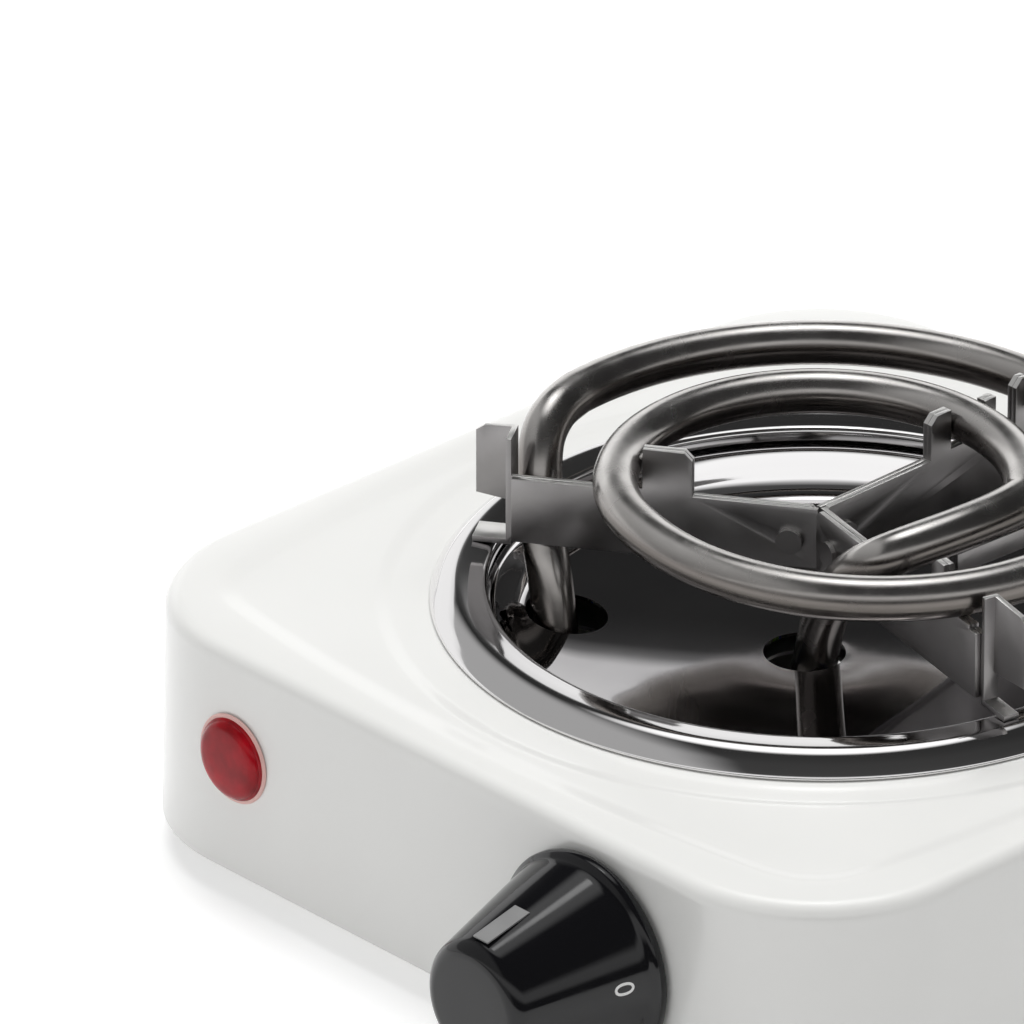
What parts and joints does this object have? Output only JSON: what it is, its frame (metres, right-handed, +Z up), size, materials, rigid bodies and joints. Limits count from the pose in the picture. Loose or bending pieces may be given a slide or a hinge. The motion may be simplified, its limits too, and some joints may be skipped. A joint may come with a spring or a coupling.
{
  "type": "hot plate burner",
  "caption": "Square white single-burner hot plate with a spiral tubular heating coil over a polished reflector bowl, chrome trim ring, front control knob and round red pilot lamp.",
  "frame": {"origin": "on the standing surface, below the middle of the square body", "axes": "+X to the right seen from the front, +Y to the back, +Z up; the knob points along -Y"},
  "size_m": [0.1476, 0.1721, 0.0602],
  "materials": {
    "white_enamel": "gloss",
    "zinc": "satin",
    "rubber": "matte",
    "chrome": "polished",
    "polished_steel": "mirror",
    "aluminised": "satin",
    "sheath_steel": "brushed",
    "ceramic": "matte",
    "nickel": "satin",
    "strip_steel": "bright",
    "red_lens": "gloss",
    "white_nylon": "matte",
    "bulb_glass": "clear",
    "knob_black": "gloss",
    "pointer_grey": "matte",
    "brass": "satin",
    "bimetal": "satin",
    "wire_brown": "matte",
    "wire_black": "matte",
    "wire_blue": "matte",
    "wire_green": "matte"
  },
  "bodies": {
    "body": {"housing_shell": "white_enamel", "corner_brackets": "zinc", "base_plate": "zinc", "rubber_feet": "rubber", "foot_screws": "zinc", "trim_ring": "chrome", "reflector_bowl": "polished_steel", "heat_shield": "aluminised", "coil_sheath": "sheath_steel", "coil_end_seals": "ceramic", "coil_terminal_pins": "nickel", "support_strip_left_back": "strip_steel", "support_strip_back_right": "strip_steel", "support_strip_right_left": "strip_steel", "support_rivets": "strip_steel", "inner_end_rail": "strip_steel", "pilot_lens": "red_lens", "lamp_holder": "white_nylon", "neon_bulb": "bulb_glass", "lamp_push_nut": "zinc", "thermostat_bush": "brass", "thermostat_bracket": "zinc", "thermostat_screws": "zinc", "thermostat_stack": "ceramic", "stack_rivet": "zinc", "bimetal_strip": "bimetal", "leaf_root": "brass", "fixed_blade": "brass", "terminal_block": "ceramic", "terminal_screws": "brass", "wire_supply_thermostat": "wire_brown", "wire_thermostat_coil": "wire_black", "wire_neutral_coil": "wire_blue", "wire_lamp_supply": "wire_brown", "wire_lamp_neutral": "wire_blue", "earth_screw": "zinc", "wire_earth": "wire_green", "cord_bush": "rubber"},
    "dial": {"knob": "knob_black", "knob_pointer": "pointer_grey", "knob_spring": "zinc", "thermostat_shaft": "zinc"},
    "leaf": {"contact_leaf": "brass"}
  },
  "joints": [
    {"name": "knob_turn", "type": "hinge", "parent": "body", "child": "dial", "pos_m": [0.0305, -0.0734, 0.0214], "axis": [0, 1, 0], "range_deg": [0, 270]},
    {"name": "leaf_flex", "type": "hinge", "parent": "body", "child": "leaf", "pos_m": [0.0305, -0.0464, 0.01735], "axis": [1, 0, 0], "range_deg": [0, 3.51]}
  ],
  "couplings": [
    {"joint": "leaf_flex", "follows": "knob_turn", "ratio": 0.012963}
  ]
}
